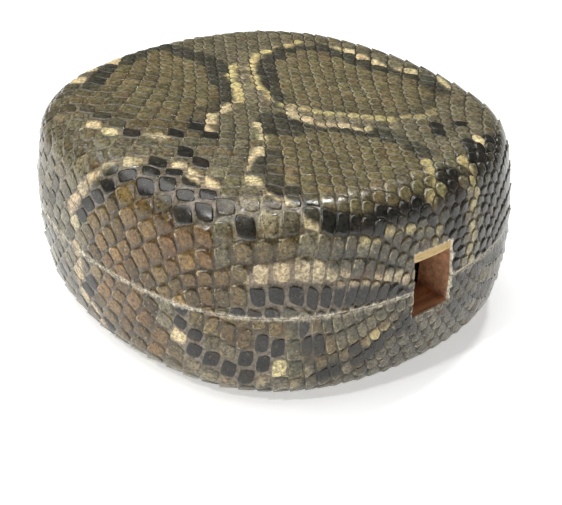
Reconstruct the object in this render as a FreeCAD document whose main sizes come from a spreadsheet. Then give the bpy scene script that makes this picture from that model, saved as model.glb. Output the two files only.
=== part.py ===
"""The drum of a sanshin, the snakeskin-covered shamisen of Okinawa.

Four curved hardwood blocks, mitred at the corners and pinned with bamboo dowels, make the frame.
Two python skins are stretched over its faces and pasted down its sides, and their cut edges
meet in a seam half way up.  The neck's tenon enters through a socket in the neck block, crosses
the hollow drum and leaves through a smaller socket in the tail block.

The drum lies on its back skin: the origin is the middle of that skin, +Z points out through the
front skin, the neck socket faces -Y and the tail socket +Y.  All sizes are in millimetres.
"""

import FreeCAD, Part
import math
import os

import Sketcher

V = FreeCAD.Vector
UP = V(0, 0, 1)
QUARTER_TURN = math.pi / 2
MITRE_TURN = math.pi / 4
ORIGIN = (-1, 1)  # a sketch's origin, as its constraints name it

# Driving dimensions: name, millimetres, meaning.
SIZES = [
    ("half_length", 93.0, "middle of the drum to the outside of its neck or tail side"),
    ("half_width", 86.5, "middle of the drum to the outside of its left or right side"),
    ("half_depth", 39.0, "seam to the outside of a skin's face"),
    ("corner_radius", 65.0, "outside of a corner, seen from the front"),
    ("corner_across", 18.0, "middle of the drum to the centre of a corner, along X"),
    ("corner_along", 25.0, "middle of the drum to the centre of a corner, along Y"),
    ("belly_radius", 140.0, "bulge of the sides between the two faces"),
    ("shoulder_radius", 14.0, "rounding where a side turns into a face"),
    ("skin_thickness", 1.2, "python skin with its scales"),
    ("paste_gap", 0.1, "layer of paste between skin and wood"),
    ("seam_gap", 0.3, "gap between the cut edges of the two skins"),
    ("rim_inset", 20.0, "outside of a side to the inner edge of the flat rim"),
    ("rim_bevel", 1.6, "bevel that frees the skin from the rim's inner edge"),
    ("waist_inset", 16.5, "outside of a side to the inner wall, half way up"),
    ("neck_socket_width", 19.0, "hole for the neck's tenon, along X"),
    ("neck_socket_height", 22.0, "hole for the neck's tenon, along Z"),
    ("neck_trim", 4.0, "wood left bare above the neck socket, where the skin is cut back"),
    ("tail_socket_size", 14.0, "square hole for the tenon's narrow end"),
    ("tail_trim", 0.5, "wood left bare all round the tail socket"),
    ("dowel_diameter", 4.9, "bamboo dowel"),
    ("dowel_length", 24.0, "bamboo dowel, half of it in each block"),
    ("dowel_bevel", 0.5, "bevel on a dowel's ends"),
    ("glue_gap", 0.05, "layer of glue round a dowel and beyond its ends"),
    ("dowel_inset", 10.0, "outside of a corner to the middle of a dowel"),
    ("dowel_rise", 17.0, "seam to the middle of a dowel"),
]

# Radius of the plan's long arcs: each touches the corners beside it and passes half_length or
# half_width from the middle.
END_RADIUS = ("(Size.corner_across^2 + (Size.half_length - Size.corner_along)^2"
              " - Size.corner_radius^2)"
              " / (2 * (Size.half_length - Size.corner_along - Size.corner_radius))")
FLANK_RADIUS = ("(Size.corner_along^2 + (Size.half_width - Size.corner_across)^2"
                " - Size.corner_radius^2)"
                " / (2 * (Size.half_width - Size.corner_across - Size.corner_radius))")

doc = FreeCAD.newDocument("sanshin_drum")
sheet = doc.addObject("Spreadsheet::Sheet", "Size")
for row, (name, millimetres, meaning) in enumerate(SIZES, start=1):
    sheet.set(f"A{row}", meaning)
    sheet.set(f"B{row}", str(millimetres))
    sheet.setAlias(f"B{row}", name)
doc.recompute()


# ---- sketch tools --------------------------------------------------------------------------------------

def new_body(label):
    """An empty body with a piece's name."""
    return doc.addObject("PartDesign::Body", label)


def attach(item, body, plane):
    """Attach a sketch or a primitive to one of its body's own origin planes."""
    support = next(feature for feature in body.Origin.OriginFeatures if feature.Role == plane)
    item.AttachmentSupport = [(support, "")]
    item.MapMode = "FlatFace"


def new_sketch(body, label, plane):
    """A sketch on one of the body's own origin planes."""
    sketch = body.newObject("Sketcher::SketchObject", f"{body.Label}_{label}")
    attach(sketch, body, plane)
    return sketch


def arc(centre, radius, start, end):
    """An arc drawn anticlockwise between two angles."""
    return Part.ArcOfCircle(Part.Circle(V(*centre, 0), UP, radius), start, end)


def dimension(sketch, kind, where, rule):
    """Add a length to a sketch and bind it to a rule in the sheet's names."""
    if kind == "Radius":
        drawn = sketch.Geometry[where[0]].Radius
    else:
        span = sketch.getPoint(*where[2:]) - sketch.getPoint(*where[:2])
        drawn = span.x if kind == "DistanceX" else span.y
    index = sketch.addConstraint(Sketcher.Constraint(kind, *where, drawn))
    sketch.setExpression(f"Constraints[{index}]", rule)


def place_point(sketch, point, across, up):
    """Fix a point of a sketch at a distance across and a distance up from the origin."""
    dimension(sketch, "DistanceX", (*ORIGIN, *point), across)
    dimension(sketch, "DistanceY", (*ORIGIN, *point), up)


def join(sketch, kind, pairs):
    """Join the ends of the sketch's lines and arcs, as (piece, end, piece, end)."""
    for pair in pairs:
        sketch.addConstraint(Sketcher.Constraint(kind, *pair))


def rectangle(sketch, width, low, high):
    """A rectangle astride the sketch's vertical axis."""
    corners = [V(-1, 1, 0), V(1, 1, 0), V(1, 2, 0), V(-1, 2, 0)]
    for start, end in zip(corners, corners[1:] + corners[:1]):
        sketch.addGeometry(Part.LineSegment(start, end), False)
    join(sketch, "Coincident", [(line, 2, (line + 1) % 4, 1) for line in range(4)])
    for line in (0, 2):
        sketch.addConstraint(Sketcher.Constraint("Horizontal", line))
    for line in (1, 3):
        sketch.addConstraint(Sketcher.Constraint("Vertical", line))
    place_point(sketch, (0, 1), f"-({width}) / 2", low)
    place_point(sketch, (1, 2), f"({width}) / 2", high)


# ---- the drum's plan: four long arcs and four corners --------------------------------------------------

def is_end(turn):
    """Whether direction turn faces the neck or the tail: 0 is +X, a quarter turn is +Y."""
    return round(turn / QUARTER_TURN) % 2 == 1


def long_arc_shape(turn):
    """Radius and half the angle of the long arc that faces direction turn."""
    aside, outside, back = sheet.corner_along, sheet.half_width, sheet.corner_across
    if is_end(turn):
        aside, outside, back = sheet.corner_across, sheet.half_length, sheet.corner_along
    reach = outside - back
    corner = sheet.corner_radius
    radius = (aside ** 2 + reach ** 2 - corner ** 2) / (2 * (reach - corner))
    return radius, math.asin(aside / (radius - corner))


def signs(turn):
    """Which side of the drum direction turn points to, as +1 or -1 along X and along Y."""
    return round(math.copysign(1, math.cos(turn))), round(math.copysign(1, math.sin(turn)))


def long_arc(sketch, turn, inset):
    """The long arc that faces direction turn, drawn in from the outside by inset."""
    radius, half = long_arc_shape(turn)
    shift = (sheet.half_length if is_end(turn) else sheet.half_width) - radius
    centre = (shift * math.cos(turn), shift * math.sin(turn))
    index = sketch.addGeometry(arc(centre, radius, turn - half, turn + half), False)
    dimension(sketch, "Radius", (index,), f"{END_RADIUS if is_end(turn) else FLANK_RADIUS} - {inset}")
    return index


def corner_arc(sketch, turn, start, end, inset):
    """The corner that faces direction turn, from angle start to angle end."""
    side_x, side_y = signs(turn)
    centre = (side_x * sheet.corner_across, side_y * sheet.corner_along)
    index = sketch.addGeometry(arc(centre, sheet.corner_radius, start, end), False)
    place_point(sketch, (index, 3), f"{side_x} * Size.corner_across", f"{side_y} * Size.corner_along")
    dimension(sketch, "Radius", (index,), f"Size.corner_radius - {inset}")
    return index


def whole_plan(sketch, inset):
    """The drum's whole outline, drawn in from the outside by inset."""
    arcs = []
    for side in range(4):
        turn = side * QUARTER_TURN
        start = turn + long_arc_shape(turn)[1]
        end = turn + QUARTER_TURN - long_arc_shape(turn + QUARTER_TURN)[1]
        arcs.append(long_arc(sketch, turn, inset))
        arcs.append(corner_arc(sketch, turn + MITRE_TURN, start, end, inset))
    join(sketch, "Tangent", [(now, 2, then, 1) for now, then in zip(arcs, arcs[1:] + arcs[:1])])


def block_plan(sketch, turn):
    """The share of the outline that belongs to the block facing direction turn."""
    half = long_arc_shape(turn)[1]
    before = corner_arc(sketch, turn - MITRE_TURN, turn - MITRE_TURN, turn - half, "0")
    middle = long_arc(sketch, turn, "0")
    after = corner_arc(sketch, turn + MITRE_TURN, turn + half, turn + MITRE_TURN, "0")
    join(sketch, "Tangent", [(before, 2, middle, 1), (middle, 2, after, 1)])
    for index, end, corner in ((before, 1, turn - MITRE_TURN), (after, 2, turn + MITRE_TURN)):
        reach = f"{signs(corner)[0]} * Size.corner_radius * sqrt(0.5)"
        dimension(sketch, "DistanceX", (index, 3, index, end), reach)


def sweep(body, plan, section):
    """Carry a section round a plan drawn at the height of the seam."""
    plan.setExpression(".AttachmentOffset.Base.z", "Size.half_depth")
    doc.recompute()
    pipe = body.newObject("PartDesign::AdditivePipe", f"{body.Label}_sweep")
    pipe.Profile = section
    pipe.Spine = (plan, [f"Edge{number + 1}" for number in range(len(plan.Geometry))])
    doc.recompute()


def cut_through(body, sketch, towards_neck):
    """Cut a shape drawn on the XZ plane through the neck side or the tail side of the drum."""
    before = body.Shape.Volume
    pocket = body.newObject("PartDesign::Pocket", f"{sketch.Label}_cut")
    pocket.Profile = sketch
    pocket.Type = "ThroughAll"
    pocket.Reversed = towards_neck
    doc.recompute()
    if body.Shape.Volume >= before:
        raise RuntimeError(f"{sketch.Label} cuts nothing")


# ---- python skins ------------------------------------------------------------------------------------

def skin_section(sketch, face):
    """A skin's side, shoulder and rim at the +X side: face is 1 for the front skin, -1 for the back."""
    belly, shoulder = sheet.belly_radius, sheet.shoulder_radius
    seam, thick = sheet.half_depth, sheet.skin_thickness
    rise = seam - shoulder
    meet = math.asin(rise / (belly - shoulder))
    belly_centre = (sheet.half_width - belly, seam)
    shoulder_centre = (belly_centre[0] + (belly - shoulder) * math.cos(meet), seam + face * rise)
    flat_end = sheet.half_width - sheet.rim_inset
    outer, inner = seam + face * seam, seam + face * (seam - thick)

    def side_arc(centre, radius, low, high):
        start, end = sorted((face * low, face * high))
        return arc(centre, radius, start, end)

    shapes = [
        side_arc(belly_centre, belly, 0, meet),
        side_arc(shoulder_centre, shoulder, meet, QUARTER_TURN),
        Part.LineSegment(V(shoulder_centre[0], outer, 0), V(flat_end, outer, 0)),
        Part.LineSegment(V(flat_end, outer, 0), V(flat_end, inner, 0)),
        Part.LineSegment(V(flat_end, inner, 0), V(shoulder_centre[0], inner, 0)),
        side_arc(shoulder_centre, shoulder - thick, meet, QUARTER_TURN),
        side_arc(belly_centre, belly - thick, 0, meet),
        Part.LineSegment(V(sheet.half_width - thick, seam, 0), V(sheet.half_width, seam, 0)),
    ]
    for shape in shapes:
        sketch.addGeometry(shape, False)
    low, high = (1, 2) if face > 0 else (2, 1)  # an arc's end nearer the seam, and nearer the face
    join(sketch, "Tangent", [(0, high, 1, low), (1, high, 2, 1), (4, 2, 5, high), (5, low, 6, high)])
    join(sketch, "Coincident", [(2, 2, 3, 1), (3, 2, 4, 1), (6, low, 7, 1), (7, 2, 0, low), (0, 3, 6, 3)])
    for line in (2, 4, 7):
        sketch.addConstraint(Sketcher.Constraint("Horizontal", line))
    sketch.addConstraint(Sketcher.Constraint("Vertical", 3))
    place_point(sketch, (0, 3), "Size.half_width - Size.belly_radius", "Size.half_depth")
    dimension(sketch, "Radius", (0,), "Size.belly_radius")
    dimension(sketch, "Radius", (1,), "Size.shoulder_radius")
    dimension(sketch, "Radius", (5,), "Size.shoulder_radius - Size.skin_thickness")
    dimension(sketch, "Radius", (6,), "Size.belly_radius - Size.skin_thickness")
    place_point(sketch, (3, 1), "Size.half_width - Size.rim_inset", f"Size.half_depth * {1 + face}")
    inner_height = f"Size.half_depth * {1 + face} - {face} * Size.skin_thickness"
    dimension(sketch, "DistanceY", (*ORIGIN, 3, 2), inner_height)
    edge_height = f"Size.half_depth + {face} * Size.seam_gap / 2"
    dimension(sketch, "DistanceY", (*ORIGIN, 7, 1), edge_height)


def skin_face(body, face):
    """The flat middle of a skin, inside the frame's rim."""
    plan = new_sketch(body, "face_plan", "XY_Plane")
    whole_plan(plan, "Size.rim_inset")
    plan.setExpression(".AttachmentOffset.Base.z", f"Size.half_depth * {1 + face}")
    pad = body.newObject("PartDesign::Pad", f"{body.Label}_face")
    pad.Profile = plan
    pad.Reversed = face > 0
    pad.setExpression("Length", "Size.skin_thickness")
    doc.recompute()


def skin(label, face):
    """A python skin: flat over its face, turned over the shoulder and pasted down to the seam."""
    body = new_body(label)
    plan = new_sketch(body, "plan", "XY_Plane")
    whole_plan(plan, "0")
    section = new_sketch(body, "section", "XZ_Plane")
    skin_section(section, face)
    sweep(body, plan, section)
    skin_face(body, face)

    neck_window = new_sketch(body, "neck_window", "XZ_Plane")
    rectangle(neck_window, "Size.neck_socket_width",
              "Size.half_depth - Size.neck_socket_height / 2",
              "Size.half_depth + Size.neck_socket_height / 2 + Size.neck_trim")
    cut_through(body, neck_window, towards_neck=True)

    tail_window = new_sketch(body, "tail_window", "XZ_Plane")
    rectangle(tail_window, "Size.tail_socket_size + 2 * Size.tail_trim",
              "Size.half_depth - Size.tail_socket_size / 2 - Size.tail_trim",
              "Size.half_depth + Size.tail_socket_size / 2 + Size.tail_trim")
    cut_through(body, tail_window, towards_neck=False)
    return body


# ---- frame blocks --------------------------------------------------------------------------------------

def block_section(sketch, side, outside):
    """A block cut across, on the +1 or -1 side of its sketch: outside names its outermost size."""
    seam = sheet.half_depth
    cover = sheet.skin_thickness + sheet.paste_gap
    belly, shoulder = sheet.belly_radius - cover, sheet.shoulder_radius - cover
    rise = seam - sheet.shoulder_radius
    meet = math.asin(rise / (belly - shoulder))
    edge = getattr(sheet, outside)
    belly_centre = edge - sheet.belly_radius
    shoulder_centre = belly_centre + (belly - shoulder) * math.cos(meet)
    rim = edge - sheet.rim_inset
    inner_rim = rim - sheet.rim_bevel
    top, bevel_end = seam - cover, seam - cover - sheet.rim_bevel
    waist = edge - sheet.waist_inset
    sag = waist - inner_rim
    inner_radius = (bevel_end ** 2 + sag ** 2) / (2 * sag)
    inner_half = math.asin(bevel_end / inner_radius)

    def point(reach, rise_from_seam):
        return V(side * reach, seam + rise_from_seam, 0)

    def side_arc(reach, rise_from_seam, radius, low, high):
        start, end = (low, high) if side > 0 else (math.pi - high, math.pi - low)
        return arc(point(reach, rise_from_seam)[:2], radius, start, end)

    shapes = [
        side_arc(belly_centre, 0, belly, -meet, meet),
        side_arc(shoulder_centre, rise, shoulder, meet, QUARTER_TURN),
        Part.LineSegment(point(shoulder_centre, top), point(rim, top)),
        Part.LineSegment(point(rim, top), point(inner_rim, bevel_end)),
        side_arc(waist - inner_radius, 0, inner_radius, -inner_half, inner_half),
        Part.LineSegment(point(inner_rim, -bevel_end), point(rim, -top)),
        Part.LineSegment(point(rim, -top), point(shoulder_centre, -top)),
        side_arc(shoulder_centre, -rise, shoulder, -QUARTER_TURN, -meet),
    ]
    for shape in shapes:
        sketch.addGeometry(shape, False)
    low, high = (1, 2) if side > 0 else (2, 1)  # an arc's lower end and its upper end
    join(sketch, "Tangent", [(0, high, 1, low), (1, high, 2, 1), (6, 2, 7, low), (7, high, 0, low)])
    join(sketch, "Coincident", [(2, 2, 3, 1), (3, 2, 4, high), (4, low, 5, 1), (5, 2, 6, 1)])
    for line in (2, 6):
        sketch.addConstraint(Sketcher.Constraint("Horizontal", line))
    less_cover = "- Size.skin_thickness - Size.paste_gap"
    place_point(sketch, (0, 3), f"{side} * (Size.{outside} - Size.belly_radius)", "Size.half_depth")
    dimension(sketch, "Radius", (0,), f"Size.belly_radius {less_cover}")
    dimension(sketch, "Radius", (1,), f"Size.shoulder_radius {less_cover}")
    dimension(sketch, "Radius", (7,), f"Size.shoulder_radius {less_cover}")
    rim_rule = f"{side} * (Size.{outside} - Size.rim_inset)"
    inner_rule = f"{side} * (Size.{outside} - Size.rim_inset - Size.rim_bevel)"
    place_point(sketch, (3, 1), rim_rule, f"2 * Size.half_depth {less_cover}")
    place_point(sketch, (5, 2), rim_rule, "Size.skin_thickness + Size.paste_gap")
    place_point(sketch, (3, 2), inner_rule, f"2 * Size.half_depth {less_cover} - Size.rim_bevel")
    place_point(sketch, (5, 1), inner_rule, "Size.skin_thickness + Size.paste_gap + Size.rim_bevel")
    rise_rule = "(Size.half_depth - Size.skin_thickness - Size.paste_gap - Size.rim_bevel)"
    sag_rule = "(Size.rim_inset + Size.rim_bevel - Size.waist_inset)"
    dimension(sketch, "Radius", (4,), f"({rise_rule}^2 + {sag_rule}^2) / (2 * {sag_rule})")


def bore_dowel_holes(body, corner):
    """Blind holes for two dowels, square to the mitre at the corner facing direction corner."""
    side_x, side_y = signs(corner)
    sketch = new_sketch(body, f"dowels_{round(math.degrees(corner))}", "XZ_Plane")
    square_to_mitre = FreeCAD.Rotation(V(0, 1, 0), math.degrees(corner))
    sketch.AttachmentOffset = FreeCAD.Placement(V(0, 0, 0), square_to_mitre)
    sketch.setExpression(".AttachmentOffset.Base.x", f"{side_x} * Size.corner_across")
    sketch.setExpression(".AttachmentOffset.Base.z", f"{-side_y} * Size.corner_along")
    for level in (-1, 1):
        middle = V(sheet.corner_radius - sheet.dowel_inset, sheet.half_depth + level * sheet.dowel_rise, 0)
        hole = sketch.addGeometry(Part.Circle(middle, UP, sheet.dowel_diameter / 2), False)
        place_point(sketch, (hole, 3), "Size.corner_radius - Size.dowel_inset",
                    f"Size.half_depth + {level} * Size.dowel_rise")
        dimension(sketch, "Radius", (hole,), "Size.dowel_diameter / 2 + Size.glue_gap")
    before = body.Shape.Volume
    pocket = body.newObject("PartDesign::Pocket", f"{sketch.Label}_holes")
    pocket.Profile = sketch
    pocket.SideType = "Symmetric"
    pocket.setExpression("Length", "Size.dowel_length + 2 * Size.glue_gap")
    doc.recompute()
    if body.Shape.Volume >= before:
        raise RuntimeError(f"{sketch.Label} bores nothing")


def frame_block(label, turn):
    """One of the frame's four blocks, facing direction turn and mitred at both ends."""
    body = new_body(label)
    plan = new_sketch(body, "plan", "XY_Plane")
    block_plan(plan, turn)
    outside, across_plane = ("half_length", "YZ_Plane") if is_end(turn) else ("half_width", "XZ_Plane")
    section = new_sketch(body, "section", across_plane)
    side = round(math.cos(turn) + math.sin(turn))
    block_section(section, side, outside)
    sweep(body, plan, section)
    for corner in (turn - MITRE_TURN, turn + MITRE_TURN):
        bore_dowel_holes(body, corner)
    return body


def neck_block():
    """The block that holds the neck, with the wider socket."""
    body = frame_block("neck_block", -QUARTER_TURN)
    socket = new_sketch(body, "socket", "XZ_Plane")
    rectangle(socket, "Size.neck_socket_width", "Size.half_depth - Size.neck_socket_height / 2",
              "Size.half_depth + Size.neck_socket_height / 2")
    cut_through(body, socket, towards_neck=True)
    return body


def tail_block():
    """The block opposite the neck, with the narrower socket."""
    body = frame_block("tail_block", QUARTER_TURN)
    socket = new_sketch(body, "socket", "XZ_Plane")
    rectangle(socket, "Size.tail_socket_size", "Size.half_depth - Size.tail_socket_size / 2",
              "Size.half_depth + Size.tail_socket_size / 2")
    cut_through(body, socket, towards_neck=False)
    return body


# ---- bamboo dowels -------------------------------------------------------------------------------------

def dowel(end, side, level):
    """A bamboo dowel across one mitre: end, side and level are +1 or -1 along Y, X and Z."""
    end_name = "tail" if end > 0 else "neck"
    side_name = "right" if side > 0 else "left"
    level_name = "front" if level > 0 else "back"
    body = new_body(f"dowel_{end_name}_{side_name}_{level_name}")
    rod = body.newObject("PartDesign::AdditiveCylinder", f"{body.Label}_rod")
    attach(rod, body, "XY_Plane")
    rod.setExpression("Radius", "Size.dowel_diameter / 2")
    rod.setExpression("Height", "Size.dowel_length")
    rod.setExpression(".AttachmentOffset.Base.z", "-Size.dowel_length / 2")
    doc.recompute()
    rims = [f"Edge{number}" for number, edge in enumerate(rod.Shape.Edges, start=1) if edge.isClosed()]
    bevel = body.newObject("PartDesign::Chamfer", f"{body.Label}_bevel")
    bevel.Base = (rod, rims)
    bevel.setExpression("Size", "Size.dowel_bevel")
    body.Placement.Rotation = FreeCAD.Rotation(UP, V(-end, side, 0))
    reach = "(Size.corner_radius - Size.dowel_inset) * sqrt(0.5)"
    body.setExpression(".Placement.Base.x", f"{side} * (Size.corner_across + {reach})")
    body.setExpression(".Placement.Base.y", f"{end} * (Size.corner_along + {reach})")
    body.setExpression(".Placement.Base.z", f"Size.half_depth + {level} * Size.dowel_rise")
    return body


# ---- the drum --------------------------------------------------------------------------------------------

pieces = [
    skin("front_skin", 1),
    skin("back_skin", -1),
    neck_block(),
    tail_block(),
    frame_block("left_block", 2 * QUARTER_TURN),
    frame_block("right_block", 0),
]
for end in (-1, 1):
    for side in (-1, 1):
        for level in (-1, 1):
            pieces.append(dowel(end, side, level))
doc.recompute()

for item in doc.Objects:
    if "Invalid" in item.State or "Error" in item.State:
        raise RuntimeError(f"{item.Label} failed: {item.State}")
for piece in pieces:
    if piece.Shape.isNull() or not piece.Shape.isValid() or len(piece.Shape.Solids) != 1:
        raise RuntimeError(f"{piece.Label} is not one valid solid")

os.makedirs("parts", exist_ok=True)
for piece in pieces:
    piece.Shape.exportStep(os.path.join("parts", f"{piece.Label}.step"))
    print(f"{piece.Label}: {piece.Shape.Volume / 1000:.1f} cubic centimetres")
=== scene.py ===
"""Looks for the drum of a sanshin: two scaled python skins over the wooden frame.

Each skin is laid out flat first, in millimetres, as it was before it was stretched: `across` runs
along X, `along` runs along Y, and the face keeps its place, so a point past the face's edge is a
point down the side.  The scales, their colours and the markings are all worked out on that flat
skin, and only then is it folded over the drum.
"""

import math

import bmesh
import bpy
import numpy as np
from mathutils import Matrix, Vector


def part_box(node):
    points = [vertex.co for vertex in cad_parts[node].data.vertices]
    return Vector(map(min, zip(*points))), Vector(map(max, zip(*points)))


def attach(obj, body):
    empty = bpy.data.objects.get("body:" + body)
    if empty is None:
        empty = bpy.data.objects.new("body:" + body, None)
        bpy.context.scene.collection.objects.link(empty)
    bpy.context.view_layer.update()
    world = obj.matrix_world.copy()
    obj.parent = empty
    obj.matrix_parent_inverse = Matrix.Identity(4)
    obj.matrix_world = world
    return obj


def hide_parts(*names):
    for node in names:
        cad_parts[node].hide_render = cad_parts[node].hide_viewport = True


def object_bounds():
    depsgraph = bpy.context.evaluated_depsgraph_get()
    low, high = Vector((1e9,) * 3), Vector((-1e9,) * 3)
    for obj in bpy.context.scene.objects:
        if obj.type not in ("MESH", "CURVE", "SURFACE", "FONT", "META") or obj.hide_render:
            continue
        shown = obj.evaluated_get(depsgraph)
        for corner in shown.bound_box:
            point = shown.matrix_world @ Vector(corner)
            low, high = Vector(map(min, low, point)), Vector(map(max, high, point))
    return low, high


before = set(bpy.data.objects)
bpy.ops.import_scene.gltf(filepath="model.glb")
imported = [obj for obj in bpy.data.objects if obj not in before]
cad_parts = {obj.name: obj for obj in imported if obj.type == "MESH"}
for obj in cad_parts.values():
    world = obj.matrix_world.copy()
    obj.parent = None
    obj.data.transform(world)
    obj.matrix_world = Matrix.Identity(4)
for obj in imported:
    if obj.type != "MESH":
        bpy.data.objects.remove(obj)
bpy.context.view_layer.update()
MM = 0.001


def show(made):
    bpy.context.scene.collection.objects.link(made)


# ---- camera ----

CAMERA_AIM = Vector((-0.0046, -0.0121, 0.0176))
CAMERA_DISTANCE = 0.5143
CAMERA_ELEVATION = math.radians(29.84)
CAMERA_AZIMUTH = math.radians(-39.19)
CAMERA_ROLL = math.radians(0.36)
CAMERA_LENS = 80.94


def make_camera():
    """The camera, looking down at the neck side and the left side of the drum."""
    azimuth, elevation = CAMERA_AZIMUTH, CAMERA_ELEVATION
    back = Vector((math.sin(azimuth) * math.cos(elevation), -math.cos(azimuth) * math.cos(elevation),
                   math.sin(elevation)))
    right = Vector((math.cos(azimuth), math.sin(azimuth), 0))
    turned = Matrix((right, back.cross(right), back)).transposed() @ Matrix.Rotation(CAMERA_ROLL, 3, "Z")
    data = bpy.data.cameras.new("camera")
    data.lens = CAMERA_LENS
    data.clip_start = 0.01
    camera = bpy.data.objects.new("camera", data)
    camera.matrix_world = Matrix.Translation(CAMERA_AIM + back * CAMERA_DISTANCE) @ turned.to_4x4()
    show(camera)
    bpy.context.scene.camera = camera


make_camera()

# ---- the drum's shape, in millimetres ----

skin_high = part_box("front_skin")[1]
HALF_WIDTH = skin_high[0] / MM
HALF_DEPTH = skin_high[2] / MM / 2
HALF_LENGTH = 93.0
CORNER_RADIUS = 65.0
CORNER_ACROSS = 18.0
CORNER_ALONG = 25.0
BELLY_RADIUS = 140.0
SHOULDER_RADIUS = 14.0
SKIN_THICKNESS = 1.2
SEAM_GAP = 0.3
WINDOW_HALF_WIDTH = {"neck": 9.5, "tail": 7.5}
WINDOW_HEIGHT = {"neck": (-11.0, 15.0), "tail": (-7.5, 7.5)}  # from the seam


def long_arc(aside, outside, back):
    """Radius of the plan's arc that passes `outside` from the middle, between two corners."""
    reach = outside - back
    return (aside ** 2 + reach ** 2 - CORNER_RADIUS ** 2) / (2 * (reach - CORNER_RADIUS))


END_RADIUS = long_arc(CORNER_ACROSS, HALF_LENGTH, CORNER_ALONG)
FLANK_RADIUS = long_arc(CORNER_ALONG, HALF_WIDTH, CORNER_ACROSS)
FLANK_TURN = math.asin(CORNER_ALONG / (FLANK_RADIUS - CORNER_RADIUS))
END_TURN = math.pi / 2 - math.asin(CORNER_ACROSS / (END_RADIUS - CORNER_RADIUS))
SHOULDER_RISE = HALF_DEPTH - SHOULDER_RADIUS
MEET_TURN = math.asin(SHOULDER_RISE / (BELLY_RADIUS - SHOULDER_RADIUS))
FACE_INSET = BELLY_RADIUS - (BELLY_RADIUS - SHOULDER_RADIUS) * math.cos(MEET_TURN)
SHOULDER_LENGTH = SHOULDER_RADIUS * (math.pi / 2 - MEET_TURN)
SIDE_LENGTH = SHOULDER_LENGTH + BELLY_RADIUS * MEET_TURN  # from the face's edge down to the seam


def outside_plan(x, y):
    """How far points lie outside the drum's plan (inside is negative), and which way is outwards."""
    from_corner = np.stack([np.abs(x) - CORNER_ACROSS, np.abs(y) - CORNER_ALONG], -1)
    from_flank = np.stack([np.abs(x) - (HALF_WIDTH - FLANK_RADIUS), np.abs(y)], -1)
    from_end = np.stack([np.abs(x), np.abs(y) - (HALF_LENGTH - END_RADIUS)], -1)
    by_flank = np.arctan2(from_flank[..., 1], from_flank[..., 0]) < FLANK_TURN
    by_end = np.arctan2(from_end[..., 1], from_end[..., 0]) > END_TURN
    ray = np.where(by_flank[..., None], from_flank, np.where(by_end[..., None], from_end, from_corner))
    radius = np.where(by_flank, FLANK_RADIUS, np.where(by_end, END_RADIUS, CORNER_RADIUS))
    length = np.maximum(np.linalg.norm(ray, axis=-1), 1e-9)
    outwards = ray / length[..., None] * np.stack([np.sign(x), np.sign(y)], -1)
    return length - radius, outwards


def fold(flat, face):
    """Places on the drum, and their normals, of points of the flat skin (face is 1 front, -1 back)."""
    outside, outwards = outside_plan(flat[:, 0], flat[:, 1])
    down = np.maximum(outside + FACE_INSET, 0)  # how far over the face's edge
    turn = np.minimum(down, SHOULDER_LENGTH) / SHOULDER_RADIUS
    inset = FACE_INSET - SHOULDER_RADIUS * np.sin(turn)
    rise = SHOULDER_RISE + SHOULDER_RADIUS * np.cos(turn)
    belly = MEET_TURN - (down - SHOULDER_LENGTH) / BELLY_RADIUS
    on_belly = down > SHOULDER_LENGTH
    inset = np.where(on_belly, BELLY_RADIUS * (1 - np.cos(belly)), inset)
    rise = np.where(on_belly, BELLY_RADIUS * np.sin(belly), rise)
    lean = np.where(on_belly, np.sin(belly), np.cos(turn))
    aside = np.where(on_belly, np.cos(belly), np.sin(turn))
    shift = np.where(down > 0, -inset - outside, 0)
    place = np.column_stack([flat + outwards * shift[:, None], HALF_DEPTH + face * rise])
    normal = np.column_stack([outwards * aside[:, None], face * lean])
    return place, normal


# ---- scales on the flat skin ----
#
# Scales stand in columns along the snake's body, each column half a scale out of step with the next.
# A place in this arrangement is (column, row): a scale's middle is at a whole column, and its corners
# are one column aside and half a row ahead or behind.  Along the body, +Y is towards the tail, and
# that end of each scale lies over the next one.

SPINE_ACROSS = {1: 15.0, -1: 0.0}  # the snake's back, where its scales are smallest
FLANK_BAND = (22.0, 82.0)  # distances from it between which they grow
EDGE_BAND = (85.0, 120.0)  # and shrink again towards the skin's edge
COLUMN_PITCH = {1: (2.9, 3.6, -0.9), -1: (3.2, 3.3, -0.9)}  # at the back, gained by the flank and the edge
ROW_PITCH = {1: (8.6, 1.7, -0.5), -1: (8.7, 1.6, -0.5)}
COUNTED_ACROSS = np.linspace(-160, 160, 3201)  # where columns are counted, every 0.1 mm across the skin
MOST_COLUMNS, MOST_ROWS = 45, 18  # each side of the middle
SWAYS = (  # how columns and rows wander: wavelengths across and along, amounts across and along, start
    (61.0, 83.0, 1.1, 0.9, 0.4), (37.0, 29.0, 0.7, 0.8, 2.1), (19.0, 23.0, 0.35, 0.4, 4.0),
    (11.0, 13.0, 0.22, 0.3, 1.3), (7.3, 8.9, 0.12, 0.2, 5.2))
SWAY_START = {1: 0.0, -1: 3.4}  # so the two skins wander differently
EDGE_STEPS = 4  # points along each of a scale's four edges
RINGS = (0, 1, 0.83, 0.45)  # a scale's rings of points: its foot, its rim, and two sizes inside the rim
SKIRT = 7.0  # how far past the seam the flat skin is made, to be cut there
KEY_STRIDE = 4096  # more than the row steps there can be
SCALE_SEED = {1: 7, -1: 8}

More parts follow.
